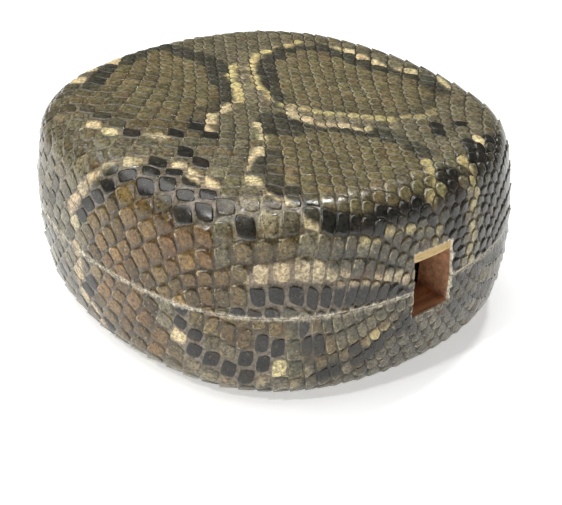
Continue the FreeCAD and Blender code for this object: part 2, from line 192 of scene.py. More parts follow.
# Each pair is for the face of the drum and for its side, where the scales are larger.
HALF_GAP = (0.20, 0.40)  # half the soft skin seen between two scales
GROOVE = (0.34, 0.42)  # how deep that skin lies
CROWN = (0.05, 0.10)  # how far a scale's middle stands over its rim
LIFT = (0.36, 0.36)  # how far its free end stands up
ROUNDING = (1.30, 1.60)  # 1 is a sharp-cornered scale, 2 an oval
LOZENGE_ROUNDING = (1.15, 1.38)
HALF_SCALE = (2.7, 3.3)  # half a lozenge's width
SCALE_LENGTH = (0.92, 0.88)  # share of the row spacing that a lozenge fills
LOZENGE_FIT = 0.92  # most of its cell that a lozenge may take
BULGE = (0.24, 0.0)  # how far a free edge bows out over the next scale, in scale spacings
BULGE_ALONG = 0.35  # the share of that which is along the body
SPRUNG_SHARE = 0.55  # scales whose free end curls up
SPRUNG_LIFT = (0.3, 1.2)  # by between these heights
SPRUNG_KEEPS = (0.2, 1.0)  # the share of it that small and large scales have
GAP_VARIES, LIFT_VARIES, CROWN_VARIES = (0.8, 1.25), (0.4, 1.5), (0.7, 1.3)  # from scale to scale
SEAM_FLAT = (0.25, 1.4)  # the scales sink into the skin's edge between these distances from it

# Where small scales give way to large ones, from the snake's back or past the face's edge.
LARGE_BAND = (30, 80)
SIDE_BAND, SIDE_LARGE = (0, 25), 0.55  # scales down the side are at least this large
BULGE_BAND = (20, 60)
LOZENGE_BAND, LOZENGE_FROM = (25, 60), (0.1, 0.5)  # the second is how large they have to be

COVERED_BAND, COVERED_SIZE = (0.2, 0.8), 0.97  # a small scale's covered end fills its cell to this share
FOOT_SPREAD = 0.22  # how far the foot reaches from the rim into the gap
FOOT_TILT, FOOT_DEPTH = 0.4, 0.9  # how much of its scale's tilt and of the groove's depth it has
RIM_SUNK = 0.05
CELL_ROLE, FOOT_ROLE = -1.0, -0.3  # "inside" of a cell's outline and a foot; a rim's is 0, a middle's 1
ON_SCALE = -0.5  # between those two


def spread(pair, amount):
    return pair[0] + (pair[1] - pair[0]) * amount


def smooth(low, high, value):
    t = np.clip((value - low) / (high - low), 0, 1)
    return t * t * (3 - 2 * t)


def pitch_at(pitches, across, face):
    """Spacing of columns or rows, from the snake's back out to the skin's edge."""
    aside = np.abs(across - SPINE_ACROSS[face])
    near_spine, by_flank, by_edge = pitches[face]
    return near_spine + by_flank * smooth(*FLANK_BAND, aside) + by_edge * smooth(*EDGE_BAND, aside)


def across_of(column, face):
    """Where whole and part columns lie across the skin."""
    across = COUNTED_ACROSS
    steps = 1 / pitch_at(COLUMN_PITCH, across, face)
    numbers = np.concatenate([[0], np.cumsum((steps[1:] + steps[:-1]) / 2 * (across[1] - across[0]))])
    return np.interp(column + np.interp(SPINE_ACROSS[face], across, numbers), numbers, across)


def on_flat(column, row, face):
    """Places of the scale arrangement on the flat skin."""
    across = across_of(column, face)
    along = row * pitch_at(ROW_PITCH, across, face)
    aside, ahead = np.zeros_like(across), np.zeros_like(across)
    for wide, tall, by_across, by_along, start in SWAYS:
        start += SWAY_START[face]
        turn_across, turn_along = across / wide * math.tau, along / tall * math.tau
        aside += by_across * np.sin(turn_across + start) * np.cos(turn_along - start)
        ahead += by_along * np.cos(turn_across - start) * np.sin(turn_along + start)
    return np.stack([across + aside, along + ahead], -1)


def down_side(flat):
    """How far points of the flat skin lie past the face's edge."""
    return outside_plan(flat[..., 0], flat[..., 1])[0] + FACE_INSET


def scale_middles(face):
    """(column, row) of every scale the drum needs."""
    column, row = np.meshgrid(np.arange(-MOST_COLUMNS, MOST_COLUMNS + 1),
                              np.arange(-MOST_ROWS, MOST_ROWS + 1), indexing="ij")
    column, row = column.ravel(), (row + 0.5 * (column % 2)).ravel()
    needed = down_side(on_flat(column.astype(float), row, face)) < SIDE_LENGTH + SKIRT
    return column[needed].astype(float), row[needed]


def outline_steps():
    """Points round a scale's cell, in columns and rows from its middle."""
    corners = np.array([(1, 0), (0, 0.5), (-1, 0), (0, -0.5), (1, 0)])
    share = np.arange(EDGE_STEPS)[:, None] / EDGE_STEPS
    return np.concatenate([a + (b - a) * share for a, b in zip(corners, corners[1:])])


def bowed(steps, amount):
    """Outline points moved so that free edges bow out over the next scales, whose covered edges match."""
    share = np.concatenate([np.arange(EDGE_STEPS)] * 4) / EDGE_STEPS
    aside = np.repeat([1.0, -1.0, 1.0, -1.0], EDGE_STEPS)
    bow = 4 * share * (1 - share)
    return steps[:, 0] + amount * bow * aside, steps[:, 1] + amount * BULGE_ALONG * bow


def rounded(steps, power):
    """Shrinks that round a scale's four corners, for each scale and each point of its outline."""
    size = np.abs(steps[:, 0]) ** power[:, None] + np.abs(2 * steps[:, 1]) ** power[:, None]
    return size ** (-1 / power[:, None]) * 2 ** (1 / power[:, None] - 1)


def lozenge(wide, tall, large, around):
    """Rims of flank scales: narrow rounded lozenges, with much soft skin between their columns."""
    power = spread(LOZENGE_ROUNDING, large)
    half_across, half_along = spread(HALF_SCALE, large), tall * spread(SCALE_LENGTH, large)
    fit = np.minimum(1, LOZENGE_FIT / (0.5 ** (1 / power) * (half_across / wide + half_along / tall)))
    turn = np.arange(around) / around * math.tau
    bend = 2 / power[:, None]
    across = np.sign(np.cos(turn)) * np.abs(np.cos(turn)) ** bend * (half_across * fit)[:, None]
    along = np.sign(np.sin(turn)) * np.abs(np.sin(turn)) ** bend * (half_along * fit)[:, None]
    return across / wide[:, None], along / tall[:, None] / 2


def cells(column, row, steps, face):
    """Outlines of the scales' cells, the first of each of their shared points, and which one each is."""
    at_column, at_row = column[:, None] + steps[:, 0], row[:, None] + steps[:, 1]
    key = (np.round(at_column * EDGE_STEPS).astype(int) * KEY_STRIDE
           + np.round(at_row * 2 * EDGE_STEPS).astype(int))
    from_spine = np.abs(on_flat(at_column, at_row, face)[..., 0] - SPINE_ACROSS[face])
    bow_column, bow_row = bowed(steps, spread(BULGE, smooth(*BULGE_BAND, from_spine)))
    outline = on_flat(column[:, None] + bow_column, row[:, None] + bow_row, face)
    _, first, shared = np.unique(key.ravel(), return_index=True, return_inverse=True)
    return outline, first, shared.reshape(outline.shape[:2])


def rims(column, row, middle, toward, large, steps, face, rng):
    """Rims of the scales, from their middles, and how near each of their points is to the free end."""
    across = middle[:, 0]
    round_off = rounded(steps, spread(ROUNDING, large))
    covered = smooth(*COVERED_BAND, -2 * steps[:, 1]) * (1 - large[:, None])
    round_off = round_off + (COVERED_SIZE - round_off) * covered
    wide, tall = pitch_at(COLUMN_PITCH, across, face), pitch_at(ROW_PITCH, across, face) / 2
    cell_reach = wide * tall / np.hypot(wide, tall)
    gap = spread(HALF_GAP, large) * rng.uniform(*GAP_VARIES, len(middle)) / cell_reach
    rim = toward * ((1 - gap)[:, None] * round_off)[..., None]
    narrow = smooth(*LOZENGE_FROM, large) * smooth(*LOZENGE_BAND, np.abs(across - SPINE_ACROSS[face]))
    by_column, by_row = lozenge(wide, tall, large, len(steps))
    lozenges = on_flat(column[:, None] + by_column, row[:, None] + by_row, face) - middle[:, None]
    rim += (lozenges - rim) * narrow[:, None, None]
    return rim, 2 * steps[:, 1] * round_off


def scale_faces(shared, shared_count):
    """Faces from each cell's outline inwards, ring by ring, and then round its middle point."""
    count, around = shared.shape
    own = np.arange(count * around).reshape(count, around)
    rings = [shared] + [shared_count + k * count * around + own for k in range(len(RINGS))]
    quads = np.concatenate([np.stack([a, np.roll(a, -1, 1), np.roll(b, -1, 1), b], -1).reshape(-1, 4)
                            for a, b in zip(rings, rings[1:])])
    last, tops = rings[-1], shared_count + len(RINGS) * count * around + np.arange(count)
    fans = np.stack([last, np.roll(last, -1, 1), np.repeat(tops[:, None], around, 1)], -1).reshape(-1, 3)
    return quads.tolist() + fans.tolist()


def make_scales(face):
    """Flat places, heights and roles of the points of every scale, and the faces between them."""
    rng = np.random.default_rng(SCALE_SEED[face])
    column, row = scale_middles(face)
    steps = outline_steps()
    middle = on_flat(column, row, face)
    count, around = len(middle), len(steps)
    outline, first, shared = cells(column, row, steps, face)
    toward = outline - middle[:, None]
    large = np.maximum(smooth(*LARGE_BAND, np.abs(middle[:, 0] - SPINE_ACROSS[face])),
                       SIDE_LARGE * smooth(*SIDE_BAND, down_side(middle)))
    rim, free_end = rims(column, row, middle, toward, large, steps, face, rng)
    foot = rim + FOOT_SPREAD * (toward - rim)
    lift = spread(LIFT, large) * rng.uniform(*LIFT_VARIES, count)
    sprung = np.where(rng.random(count) < SPRUNG_SHARE, rng.uniform(*SPRUNG_LIFT, count), 0)
    curl = sprung * spread(SPRUNG_KEEPS, large)
    crown = spread(CROWN, large) * rng.uniform(*CROWN_VARIES, count)
    groove = spread(GROOVE, large)

    parts = [(outline.reshape(-1, 2)[first], -groove[first // around], np.full(len(first), CELL_ROLE),
              first // around, np.zeros(len(first)))]
    for ring in RINGS:
        reach = ring or 1.0
        tilt = lift[:, None] * free_end * reach + curl[:, None] * np.clip(free_end * reach, 0, 1) ** 3
        top = crown[:, None] * (1 - reach ** 2) + tilt - RIM_SUNK
        low = FOOT_TILT * tilt - FOOT_DEPTH * groove[:, None]
        parts.append(((middle[:, None] + (rim * ring if ring else foot)).reshape(-1, 2),
                      (top if ring else low).ravel(),
                      np.full(count * around, 1 - reach if ring else FOOT_ROLE),
                      np.repeat(np.arange(count), around), (free_end * reach).ravel()))
    parts.append((middle, crown - RIM_SUNK, np.ones(count), np.arange(count), np.zeros(count)))
    names = ("flat", "height", "inside", "scale", "end")
    scales = {name: np.concatenate(values) for name, values in zip(names, zip(*parts))}
    scales.update(large=large, middle=middle, count=count, faces=scale_faces(shared, len(first)))
    return scales


# ---- the markings, in millimetres on the flat skin ----

INKS = {  # display colours, 0 to 255
    "ground": (112, 105, 82), "olive": (114, 104, 74), "dark": (68, 66, 54), "black": (42, 41, 36),
    "cream": (236, 215, 166), "yellow": (218, 200, 138), "bone": (216, 196, 156), "brown": (119, 97, 58),
    "orange": (132, 98, 58), "char": (102, 98, 86), "pale": (144, 133, 106), "gap": (136, 124, 107),
    # "shade" is painted shadow in the grooves between small scales, and "rim" is the painted highlight along
    # scales' free ends
    "shade": (34, 30, 22), "rim": (214, 202, 168), "raw": (232, 222, 200)}
LIGHT_INKS = ("cream", "yellow", "bone")

BLOTCH_LEFT = ((2, 82), (8, 66), (11, 50), (7, 38), (0, 26), (-8, 12), (-30, 5), (-38, -13), (-47, -7),
    (-57, 14), (-60, 28), (-66, 44), (-60, 58), (-48, 66), (-20, 78))
BLOTCH_RIGHT = ((2, 3), (8, 17), (19, 34), (32, 42), (44, 44), (53, 42), (60, 24), (61, 2), (66, -18),
    (62, -33), (48, -42), (32, -42), (22, -34), (10, -16))
BLOTCH_FRONT = ((-8, -9), (-1, -18), (3, -32), (14, -46), (20, -60), (16, -72), (4, -88), (-5, -97),
    (-22, -94), (-36, -91), (-47, -78), (-47, -50), (-40, -38), (-27, -31), (-19, -17))
BLOTCH_FLANK = ((-126, 2), (-104, 0), (-90, -8), (-76, -20), (-77, -54), (-84, -72), (-98, -80), (-126, -70))

# A stroke is (ink, width, strength, points of its line), and a fill has no width.  A dot colours the
# one scale nearest to each of its points.
FACE_FILLS = (
    ("olive", None, 1.0, BLOTCH_LEFT), ("olive", None, 1.0, BLOTCH_RIGHT), ("olive", None, 1.0, BLOTCH_FRONT))

FRONT_GROUND = (
    ("brown", None, 1.0, BLOTCH_FLANK),
    ("orange", 20, 0.5, ((-112, -22), (-92, -36), (-88, -56))), ("orange", 10, 0.8, ((-88, -46), (-80, -60))),
    ("pale", 22, 0.45, ((-60, -56), (-68, -76))), ("pale", 10, 0.3, ((-56, -26), (-55, -60))),
    # painted shade: the ground darkened down the neck side, which faces away from the lamps
    ("char", 34, 0.45, ((-40, -106), (0, -104))),
    ("brown", 12, 0.6, ((-84, -76), (-70, -72), (-58, -82))),
    ("pale", 9, 0.6, ((0, 6), (5, 20), (14, 34), (24, 44))),
    ("pale", 7, 0.4, ((2, -10), (8, -26), (18, -38))))

FACE_BORDERS = (
    ("dark", 9, 1.0, ((-2, 86), (4, 68), (8, 54), (5, 42), (-3, 26), (-9, 14))),
    ("dark", 7, 0.6, ((-9, 13), (-20, 10), (-30, 8), (-38, -2))),
    ("dark", 8, 0.95, ((-50, 60), (-36, 68), (-20, 74), (2, 80))), ("dark", 6, 0.7, ((-58, 24), (-63, 44))),
    ("dark", 8, 1.0, ((6, 1), (10, 12), (17, 25), (27, 36))),
    ("dark", 7, 1.0, ((27, 37), (40, 40), (54, 36))),
    ("dark", 7, 0.95, ((54, 36), (56, 12), (60, -4), (64, -17), (61, -30))),
    ("dark", 5, 0.5, ((58, -34), (44, -41), (30, -38))), ("dark", 5, 0.3, ((7, -10), (20, -29))))

FRONT_DARK = (
    ("dark", 17, 0.9, ((-8, -15), (-10, -22))),
    ("dark", 7, 0.9, ((-28, -37), (-40, -41), (-44, -58), (-43, -75))),
    ("dark", 7, 0.9, ((0, -28), (6, -38), (14, -50), (17, -62), (13, -73))),
    ("black", 9, 1.0, ((-40, -83), (-30, -89), (-18, -92), (-4, -94))),
    ("black", 12, 0.95, ((13, -88), (12, -118))), ("black", 8, 0.8, ((2, -98), (14, -90))),
    # the first stroke below is a dark marking, made darker still as painted shade on the neck side's right
    ("dark", 36, 1.0, ((47, -88), (49, -122))), ("dark", 12, 0.35, ((-30, -104), (-12, -106))),
    ("black", 6, 1.0, ((-101, 5), (-86, -6), (-72, -14), (-66, -19))),
    ("black", 13, 1.0, ((-69.5, -22), (-69.5, -50))),
    ("black", 14, 1.0, ((-94, -90), (-76, -93), (-62, -101))),
    ("black", 14, 1.0, ((-62, -103), (-46, -110), (-30, -117), (-14, -124))))

FRONT_LIGHT = (
    ("yellow", 3.2, 1.0, ((-8, 8), (-2, 18), (3, 30), (14, 41))),
    ("yellow", 2.4, 1.0, ((2, 0), (7, 18), (19, 37), (30, 45), (52, 45))),
    ("cream", 3.6, 0.8, ((-34, -9), (-32, -1), (-24, 6), (-12, 8))),
    ("cream", 3.2, 0.85, ((0, -10), (1, -25), (12, -43))),
    ("yellow", 3.0, 0.75, ((2, -5), (10, -20), (26, -41))),
    ("yellow", 3.0, 0.5, ((32, -42), (38, -46), (47, -45))),
    ("cream", 3.6, 0.95, ((60, 30), (62, 20), (62, 2))), ("cream", 4.0, 0.9, ((65, -4), (66, -14))),
    ("cream", 4.0, 0.9, ((69, -22), (67, -31))),
    ("cream", 3.4, 0.95,
     ((-16, -12), (-23, -25), (-34, -34), (-46, -42), (-49, -60), (-47, -77), (-42, -85))),
    ("yellow", 2.2, 0.8, ((-32, -95), (-17, -97), (-5, -101))),
    ("yellow", 2.6, 0.75, ((12, -75), (4, -86), (-3, -99))), ("yellow", 2.6, 0.7, ((8, -88), (0, -108))),
    ("yellow", 4.0, 0.75, ((25, -80), (24, -120))),
    ("cream", 4.5, 0.95, ((-67, 22), (-65, 24))), ("cream", 5.0, 0.95, ((-63, 17), (-61, 16))),
    ("cream", 4.0, 0.9, ((-58, 8), (-56, 6))), ("cream", 5.0, 0.95, ((-53, 2), (-51, -1))),
    ("bone", 5.0, 0.9, ((-116, 10), (-100, 12), (-84, 1), (-68, -9))),
    ("cream", 4.6, 1.0, ((-61, -23), (-60, -46))),
    ("bone", 5.5, 0.95, ((-76, -80), (-62, -87), (-48, -100), (-34, -109), (-14, -117))))

FRONT_DOTS = (
    ("black", ((-38, -3), (-66, -20), (-66, -30), (-66, -40), (-66, -50), (-72, -25), (-72, -35), (-72, -45),
    (-80, -11), (-86, -6), (-92, -1), (-98, 3), (-37, -12), (-47, -4), (-51, -15), (-51, -24),
    (-57, 14), (33, -61), (38, -58), (46, -59), (32, -77), (35, -73), (29, -84), (34, -82),
    (40, -79), (45, -75), (-65, -69))),
    ("cream", ((-47, 73), (-34, 75), (-27, 76), (-19, 79), (40, -72))))

BACK_OWN = (
    ("brown", None, 1.0, ((-126, 0), (-100, -2), (-86, -14), (-82, -46), (-100, -46), (-126, -40))),
    ("orange", 16, 0.6, ((-110, -16), (-92, -36))), ("brown", 20, 0.8, ((-108, -64), (-92, -80), (-80, -96))),
    ("brown", 13, 0.6, ((-56, -104), (-44, -96), (-22, -110))), ("char", 40, 0.7, ((0, -96), (40, -96))),
    ("char", 24, 0.5, ((-52, -70), (-24, -92))), ("dark", 24, 0.9, ((22, -116), (64, -100))),
    ("olive", 5, 0.7, ((12, -116), (40, -108), (70, -88))),
    ("black", 6.5, 1.0, ((-114, 3), (-102, 2), (-87, -9))),
    ("black", 13, 1.0, ((-108, -57), (-92, -57), (-74, -67))),
    ("black", 11, 1.0, ((-74, -68), (-71, -92))), ("black", 7, 0.95, ((-52, -86), (-36, -98), (-14, -113))),
    ("black", 7, 0.9, ((-66, -104), (-55, -100))),
    ("bone", 5.0, 0.9, ((-116, 10), (-101, 11), (-88, -2))),
    ("bone", 4.0, 0.5, ((-82, -53), (-71, -63))),
    ("bone", 4.5, 0.6, ((-64, -74), (-64, -85))), ("bone", 4.5, 0.6, ((-54, -78), (-53, -88))),
    ("yellow", 3.5, 0.6, ((-30, -107), (-22, -111))))

BACK_DOTS = (
    ("black", ((-98, 30), (-104, 42), (60, 88), (66, 82),
    (-100, -56), (-90, -57), (-84, -60), (-78, -66))),
    ("cream", ((-93, -50), (-64, -80))))

HIDDEN_STROKES = (  # on both skins, where the photograph does not show them
    ("brown", None, 1.0, ((126, 30), (100, 34), (84, 24), (80, -6), (92, -26), (126, -22))),
    ("orange", 16, 0.6, ((108, 22), (94, 4))), ("black", 7, 1.0, ((116, 34), (98, 36), (82, 26), (78, 4))),
    ("black", 11, 0.95, ((80, -6), (92, -30), (112, -30))), ("bone", 5, 0.9, ((118, 42), (96, 44), (74, 30))),
    ("cream", 4.5, 0.9, ((70, 52), (84, 66), (90, 78))),
    ("black", 12, 0.95, ((-76, 96), (-56, 102), (-36, 114))),
    ("bone", 5, 0.9, ((-88, 84), (-70, 88), (-44, 100), (-20, 114))),
    ("dark", 12, 0.8, ((-10, 92), (-8, 122))),
    ("yellow", 4, 0.75, ((2, 90), (6, 122))), ("brown", 22, 0.8, ((26, 104), (52, 98))),
    ("black", 9, 0.95, ((14, 92), (34, 86), (60, 84), (76, 74))),
    ("black", 8, 0.9, ((20, 120), (50, 112), (74, 96))))


def turned(strokes):
    """The same markings, turned half way round the drum."""
    return tuple((name, width, strength, tuple((-x, -y) for x, y in line))
                 for name, width, strength, line in strokes)


STROKES = {1: FACE_FILLS + FRONT_GROUND + FACE_BORDERS + FRONT_DARK + FRONT_LIGHT + HIDDEN_STROKES,
           -1: turned(FACE_FILLS + FACE_BORDERS) + HIDDEN_STROKES + BACK_OWN}
DOTS = {1: FRONT_DOTS, -1: BACK_DOTS}

FILL_EDGE, STROKE_EDGE = (-1.5, 1.5), (-0.7, 0.9)  # how far about its edge a marking fades, in millimetres
COLOUR_SEED = {1: 11, -1: 12}
WANDER = 0.7  # how far beside itself a scale may look for its markings
OWN_SHARE = (0.6, 0.15)  # how far a dark marking's edge passes through a scale; the pairs are as above
SOFT_SHARE = 0.8  # and through the soft skin
LIGHT_PULL = 0.35  # how much a light marking's outline is drawn out to whole scales
SHADE_VARIES, HUE_VARIES = (0.07, 0.12), 0.01  # from scale to scale
LIGHT_BAND, DARK_BAND, TAN_BAND = (0.5, 0.72), (0.27, 0.36), (0.15, 0.20)  # what counts as each
SOFT_BAND = (0.05, 0.3)
FOOT_KEEPS = 0.65  # how much of a scale's colour its foot keeps, if it is neither dark nor light
GAP_SHADE, GAP_TAN_SHADE = 1.12, 0.54  # soft skin against the scales beside it, and the loss in tan parts
GAP_SHOWS = (0.35, 0.85)  # how large the scales are before their gaps are more than painted shadow lines
GAP_STRENGTH = 0.85
RIM_HIGHLIGHT_BAND, RIM_HIGHLIGHT_START = (0.35, 0.20), 0.5  # a painted highlight along a scale's raised free end: how broad, and how far along
RIM_HIGHLIGHT_VARIES = (0.35, 1.15)
RIM_HIGHLIGHT_STRENGTH, RIM_HIGHLIGHT_DULLED = (0.62, 0.85), (0.55, 0.95)  # the second is its loss on dark scales
NEAR_RIM = 0.1  # "inside" values below this are at a scale's rim
MARGIN_SHADE, COVERED_SHADE = 0.30, 0.3  # painted shade round large scales' rims, and painted shadow at covered ends, under the free end of the scale before
COVERED_REACH = 0.8
FLECKED = (0.55, 1.0)
FRAYED, FRAYED_STRENGTH = (0.2, 1.3), 0.75  # the cut edge is pale, fading out this far from the seam


def away(points, line, closed=False):
    """Distance of points from a line of a few points."""
    line = np.array(line, float)
    if closed:
        line = np.concatenate([line, line[:1]])
    nearest = np.full(len(points), np.inf)
    for a, b in zip(line, line[1:]):
        along = np.clip((points - a) @ (b - a) / max((b - a) @ (b - a), 1e-9), 0, 1)
        nearest = np.minimum(nearest, np.linalg.norm(points - a - along[:, None] * (b - a), axis=1))
    return nearest


def within(points, outline):
    """Whether points lie inside an outline."""
    outline = np.array(outline, float)
    inside = np.zeros(len(points), bool)
    for (ax, ay), (bx, by) in zip(outline, np.roll(outline, -1, 0)):
        crosses = (ay > points[:, 1]) != (by > points[:, 1])
        inside ^= crosses & (points[:, 0] < (bx - ax) * (points[:, 1] - ay) / ((by - ay) or 1e-9) + ax)
    return inside


def ink(name):
    return np.array(INKS[name], float) / 255


def paint(by_scale, by_point, scales, strokes, dots):
    """Display colours of points: dark inks fill whole scales, and light ones keep their own outlines."""
    colour = np.tile(ink("ground"), (len(by_scale), 1))
    for name, width, strength, line in strokes:
        points = by_point if name in LIGHT_INKS else by_scale
        if width is None:
            depth = away(points, line, closed=True) * np.where(within(points, line), 1, -1)
            amount = strength * smooth(*FILL_EDGE, depth)
        else:
            past = away(points, line) - width / 2
            amount = strength * (1 - smooth(*STROKE_EDGE, past))
        colour += (ink(name) - colour) * amount[:, None]
    for name, spots in dots:
        for spot in spots:
            nearest = np.argmin(np.linalg.norm(scales["middle"] - spot, axis=1))
            colour[(scales["scale"] == nearest) & (scales["inside"] > ON_SCALE)] = ink(name)
    return colour


def to_linear(display):
    display = np.clip(display, 0, 1)
    return np.where(display < 0.04045, display / 12.92, ((display + 0.055) / 1.055) ** 2.4)


def marking_places(scales, wander):
    """Where each point looks for dark markings, mostly its scale's middle, and for light ones."""
    owner = scales["scale"]
    within_scale = scales["flat"] - scales["middle"][owner]
    on_scale = scales["inside"] > ON_SCALE
    own_share = np.where(on_scale, spread(OWN_SHARE, scales["large"][owner]), SOFT_SHARE)[:, None]
    by_scale = scales["middle"][owner] + wander[owner] + own_share * within_scale
    by_point = scales["flat"] + wander[owner] - LIGHT_PULL * on_scale[:, None] * within_scale
    return by_scale, by_point


def soft_skin(colour, inside, large, light, dark):
    """How much each point shows the soft skin between scales, and the colour there: soft skin between large
    scales, painted shadow between small ones.
    """
    plain = (1 - dark) * (1 - light)
    tan = smooth(*TAN_BAND, colour[:, 0] - colour[:, 2]) * (1 - light)
    foot = (inside < 0) * (inside > ON_SCALE)
    soft = smooth(*SOFT_BAND, -inside) * (1 - FOOT_KEEPS * foot * plain)
    like_scales = colour * (GAP_SHADE - GAP_TAN_SHADE * tan)[:, None]
    skin = ink("gap") + (like_scales - ink("gap")) * plain[:, None]
    # between small scales the gap takes the shade ink: painted shadow in the narrow grooves
    return soft, ink("shade") + (skin - ink("shade")) * smooth(*GAP_SHOWS, large)[:, None]


def colour_scales(scales, face):
    """Base colours of every point, and its marks: soft skin, speckle and lightness."""
    rng = np.random.default_rng(COLOUR_SEED[face])
    count, owner, inside, end = scales["count"], scales["scale"], scales["inside"], scales["end"]
    large = scales["large"][owner]
    wander = rng.normal(0, WANDER, (count, 2))
    colour = paint(*marking_places(scales, wander), scales, STROKES[face], DOTS[face])
    light = smooth(*LIGHT_BAND, colour.mean(1))
    dark = 1 - smooth(*DARK_BAND, colour.mean(1))
    colour *= (1 + rng.normal(0, 1, count)[owner] * spread(SHADE_VARIES, large) * (1 - light))[:, None]
    colour *= 1 + rng.normal(0, HUE_VARIES, (count, 3))[owner]
    soft, gap = soft_skin(colour, inside, large, light, dark)
    at_rim = (inside < NEAR_RIM) * (1 - soft)
    # painted highlight: each scale's raised free end is drawn pale, as if lit
    edge = smooth(0.0, spread(RIM_HIGHLIGHT_BAND, large), end - RIM_HIGHLIGHT_START * large) * at_rim
    edge *= rng.uniform(*RIM_HIGHLIGHT_VARIES, count)[owner]
    # painted shade along large scales' rims, where there is no painted highlight
    painted_rim_shade = at_rim * (1 - edge) * large * (1 - light)
    colour *= (1 - MARGIN_SHADE * painted_rim_shade)[:, None]
    # painted shadow where each scale's covered end lies under the free end of the scale before it
    covered = smooth(0.0, COVERED_REACH, -end)
    colour *= (1 - COVERED_SHADE * covered * (1 - 0.5 * large) * (1 - 0.5 * light))[:, None]
    # the painted highlight's strength, weaker on dark scales
    pale = edge * spread(RIM_HIGHLIGHT_STRENGTH, large) * (1 - spread(RIM_HIGHLIGHT_DULLED, large) * dark)
    colour += (ink("rim") - colour) * pale[:, None]
    colour += (gap - colour) * (soft * GAP_STRENGTH)[:, None]
    frayed = FRAYED_STRENGTH * (1 - smooth(*FRAYED, SIDE_LENGTH - down_side(scales["flat"])))
    colour += (ink("raw") - colour) * frayed[:, None]
    flecked = spread(FLECKED, large) * (1 - 0.7 * dark) * (1 - 0.6 * light)
    marks = np.column_stack([soft, flecked, light, np.zeros(len(light))])
    return np.column_stack([to_linear(colour), np.ones(len(colour))]), marks


# ---- folding the skins over the drum ----


def start_mesh(name, places, faces):
    mesh = bpy.data.meshes.new(name)
    mesh.from_pydata(places.tolist(), [], faces)
    return mesh


def set_points(mesh, name, kind, values):
    """A named value for every point of a mesh."""
    field = {"FLOAT_COLOR": "color", "FLOAT_VECTOR": "vector"}[kind]
    attribute = mesh.attributes.new(name, kind, "POINT")
    attribute.data.foreach_set(field, np.asarray(values, np.float32).ravel())


def cut(bm, point, normal, near=None, drop=False):
    """Cuts along a plane, in the part near() accepts; drop removes what lies past it."""
    faces = [f for f in bm.faces if near is None or near(f.calc_center_median())]
    edges = dict.fromkeys(e for f in faces for e in f.edges)  # not sets, whose order changes from run to run
    points = dict.fromkeys(v for f in faces for v in f.verts)
    bmesh.ops.bisect_plane(bm, geom=list(points) + list(edges) + faces, dist=1e-8, plane_co=point,
                           plane_no=normal, clear_outer=drop, clear_inner=False)


WINDOW_ROUND = 0.004  # faces this near a window are cut along its edges, in metres
WINDOW_FROM = 0.06  # only past this distance along the drum, in metres


def cut_window(bm, face, end):
    """The hole in the skin's edge in front of a socket, open at the seam."""
    half, (low, high) = WINDOW_HALF_WIDTH[end], WINDOW_HEIGHT[end]
    top = (HALF_DEPTH + (high if face == 1 else low)) * MM
    along = -1 if end == "neck" else 1
    middle = HALF_DEPTH * MM

    def near(p, extra=WINDOW_ROUND):
        return (p.y * along > WINDOW_FROM and abs(p.x) < half * MM + extra
                and (p.z - middle) * face < (top - middle) * face + extra)

    for aside in (-half, half):
        cut(bm, (aside * MM, 0, 0), (1, 0, 0), near)
    cut(bm, (0, 0, top), (0, 0, 1), near)
    inside = [f for f in bm.faces if near(f.calc_center_median(), 0.0)]
    bmesh.ops.delete(bm, geom=inside, context="FACES")


def boundary_loop(bm):
    """The skin's one cut edge, in order."""
    edges = [e for e in bm.edges if e.is_boundary]
    following = {}
    for e in edges:
        for v in e.verts:
            following.setdefault(v, []).append(e.other_vert(v))
    loop = [edges[0].verts[0], edges[0].verts[1]]
    while len(loop) < len(edges):
        loop.append(next(v for v in following[loop[-1]] if v is not loop[-2]))
    assert len(set(loop)) == len(edges), "the skin's edge is not one loop"
    return loop


INNER_LEVELS = (19.0, 22.5)  # heights from the seam of the inner side's rings, past the windows
INNER_TURNS = (0.0, 0.35, 0.7, 1.0)  # then shares of the inner shoulder
FACE_SHARES = (0.7, 0.35)  # then sizes of the rings on the face's inner side
INNER_STRIDE = 4  # the inner side is plain, so it has a point for every few of the cut edge's
INNER_MARKS = (1, 0.3, 0, 0)  # all soft skin, a little speckled
EDGE_MERGE = 0.01  # points of the cut edge nearer than this become one


def inner_rings(edge, face):
    """Rings of inner places, from the cut edge up the side and over the inner face, for its points."""
    middle = HALF_DEPTH
    x, y, z = edge[:, 0] / MM, edge[:, 1] / MM, (edge[:, 2] / MM - middle) * face
    outside, outwards = outside_plan(x, y)
    inner_belly = BELLY_RADIUS - SKIN_THICKNESS

    def at(inset, rise):
        flat = np.column_stack([x, y]) - outwards * (outside + inset)[:, None]
        return np.column_stack([flat, middle + face * rise]) * MM

    def inset_at(rise):
        return BELLY_RADIUS - np.sqrt(inner_belly ** 2 - rise ** 2)

    rings = [at(inset_at(z), z)]
    rings += [at(np.full_like(z, inset_at(level)), np.full_like(z, level)) for level in INNER_LEVELS]
    bend = SHOULDER_RADIUS - SKIN_THICKNESS
    for share in INNER_TURNS:
        turn = (math.pi / 2 - MEET_TURN) * (1 - share)
        rings.append(at(np.full_like(z, FACE_INSET - bend * math.sin(turn)),
                        np.full_like(z, SHOULDER_RISE + bend * math.cos(turn))))
    edge_ring = rings[-1]
    for share in FACE_SHARES:
        rings.append(edge_ring * [share, share, 1])
    return rings


